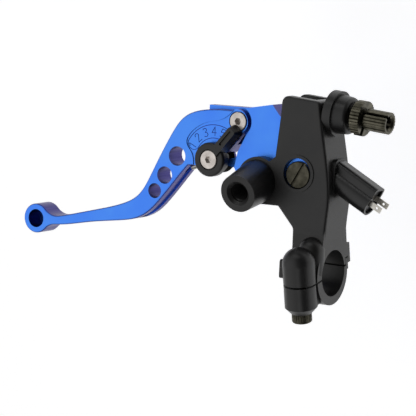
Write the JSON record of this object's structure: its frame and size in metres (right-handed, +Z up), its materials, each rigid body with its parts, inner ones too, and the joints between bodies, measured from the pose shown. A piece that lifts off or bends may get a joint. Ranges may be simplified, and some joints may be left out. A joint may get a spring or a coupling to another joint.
{
  "type": "motorcycle clutch lever",
  "caption": "Left-hand clutch lever on its handlebar perch, with a dial-adjustable blade, cable adjuster, mirror boss and plunger switch.",
  "frame": {"origin": "centre of the handlebar clamp's bore, at the middle of the clamp's width", "axes": "+X along the handlebar towards the middle of the motorcycle, +Y forward away from the rider, +Z up along the lever's pivot"},
  "size_m": [0.2022, 0.11, 0.0472],
  "materials": {
    "perch_black": "satin black paint over cast aluminium",
    "lever_blue": "bright blue anodised aluminium, satin",
    "knob_black": "satin black anodised aluminium",
    "screw_steel": "bright machined steel",
    "bolt_zinc": "dark zinc-plated steel",
    "adjuster_zinc": "dark olive zinc-plated steel, knurled",
    "bush_bronze": "plain sintered bronze",
    "spring_steel": "plain spring steel",
    "switch_black": "semi-gloss black moulding",
    "plunger_plastic": "natural acetal",
    "terminal_tin": "tinned brass, satin"
  },
  "bodies": {
    "perch": {"perch_body": "perch_black", "clamp_cap": "perch_black", "clamp_bolt": "bolt_zinc", "pivot_bolt": "bolt_zinc", "pivot_washer": "lever_blue", "pivot_nut": "bolt_zinc", "switch_body": "switch_black", "switch_end_block": "switch_black", "switch_terminal_upper": "terminal_tin", "switch_terminal_lower": "terminal_tin", "switch_spring": "spring_steel", "switch_retaining_screw": "spring_steel"},
    "lever": {"lever_base": "lever_blue", "pivot_bush": "bush_bronze", "blade_pivot_bush": "bush_bronze"},
    "blade": {"lever_blade": "lever_blue", "blade_pivot_screw": "screw_steel", "knob_screw": "screw_steel", "detent_ball": "screw_steel", "detent_spring": "spring_steel", "detent_plug": "spring_steel"},
    "knob": {"adjuster_knob": "knob_black"},
    "plunger": {"switch_plunger": "plunger_plastic"},
    "lock_nut": {"adjuster_lock_nut": "adjuster_zinc"},
    "barrel": {"cable_adjuster_barrel": "adjuster_zinc"}
  },
  "joints": [
    {"name": "lever_pivot", "type": "hinge", "parent": "perch", "child": "lever", "pos_m": [-0.008, 0.0459, 0], "axis": [0, 0, 1], "range_deg": [-25, 0]},
    {"name": "blade_adjust", "type": "hinge", "parent": "lever", "child": "blade", "pos_m": [-0.0448, 0.0678, 0], "axis": [0, 0, 1], "range_deg": [-8, 0]},
    {"name": "knob_turn", "type": "hinge", "parent": "blade", "child": "knob", "pos_m": [-0.0575, 0.0485, 0], "axis": [0, 0, 1], "range_deg": [0, 105]},
    {"name": "plunger_slide", "type": "slide", "parent": "perch", "child": "plunger", "axis": [0.8829, -0.4695, 0], "range_m": [0, 0.00185], "deforming": ["switch_spring"]},
    {"name": "adjuster_travel", "type": "slide", "parent": "perch", "child": "lock_nut", "axis": [0.9962, -0.0872, 0], "range_m": [0, 0.005]},
    {"name": "adjuster_turn", "type": "hinge", "parent": "lock_nut", "child": "barrel", "pos_m": [0.0187, 0.0745, 0], "axis": [0.9962, -0.0872, 0], "range_deg": [0, 1440.5]}
  ],
  "couplings": [
    {"joint": "knob_turn", "follows": "blade_adjust", "ratio": -13.125},
    {"joint": "plunger_slide", "follows": "lever_pivot", "m_per_rad": -0.0041253},
    {"joint": "adjuster_turn", "follows": "adjuster_travel", "rad_per_m": 5026.5}
  ]
}
